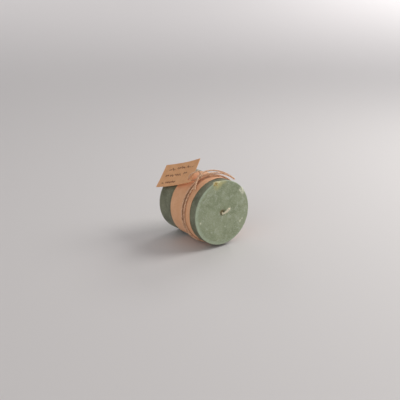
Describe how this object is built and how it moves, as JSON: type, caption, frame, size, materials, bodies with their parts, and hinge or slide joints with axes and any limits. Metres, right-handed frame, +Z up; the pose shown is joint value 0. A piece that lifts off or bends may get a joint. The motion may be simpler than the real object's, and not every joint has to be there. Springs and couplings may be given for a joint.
{
  "type": "pillar candle",
  "caption": "Short round pillar candle of cast wax with a wick stub, held in a kraft paper band by a jute tie that carries a kraft card tag.",
  "frame": {"origin": "bottom centre of the whole object's box, on the floor, with the candle lying on its side", "axes": "+Z up; the candle's axis lies in the YZ plane, its wick end towards -Y and raised 2.3 degrees, its base towards +Y; +X completes the frame"},
  "size_m": [0.0692, 0.0824, 0.0834],
  "materials": {
    "green_wax": "matte cast wax, mottled sage green",
    "yellow_wax": "translucent yellow wax fragment",
    "cotton_wick": "braided cotton, waxed",
    "tinplate": "thin stamped tinplate",
    "kraft_paper": "uncoated brown kraft paper",
    "paper_glue": "dry paste",
    "jute": "natural hairy two-ply jute",
    "kraft_card": null
  },
  "bodies": {
    "candle": {"wax_body": "green_wax", "rim_inclusion": "yellow_wax", "wick": "cotton_wick", "wick_tab": "tinplate"},
    "band": {"paper_band": "kraft_paper", "band_glue": "paper_glue"},
    "tie": {"twine_turn_front": "jute", "twine_turn_rear": "jute", "twine_knot": "jute", "twine_bow_loop": "jute", "twine_tail": "jute", "tag_thread": "jute"},
    "tag": {"tag": "kraft_card"}
  },
  "joints": [
    {"name": "band_slide", "type": "slide", "parent": "candle", "child": "band", "axis": [0, -0.9992, 0.0408], "range_m": [0, 0.055]},
    {"name": "tie_slide", "type": "slide", "parent": "band", "child": "tie", "axis": [0, -0.9992, 0.0408], "range_m": [0, 0.035]},
    {"name": "tag_lift", "type": "hinge", "parent": "tie", "child": "tag", "pos_m": [-0.02109, -0.00951, 0.06707], "axis": [0.6904, 0.3799, 0.6156], "range_deg": [0, 40]}
  ]
}
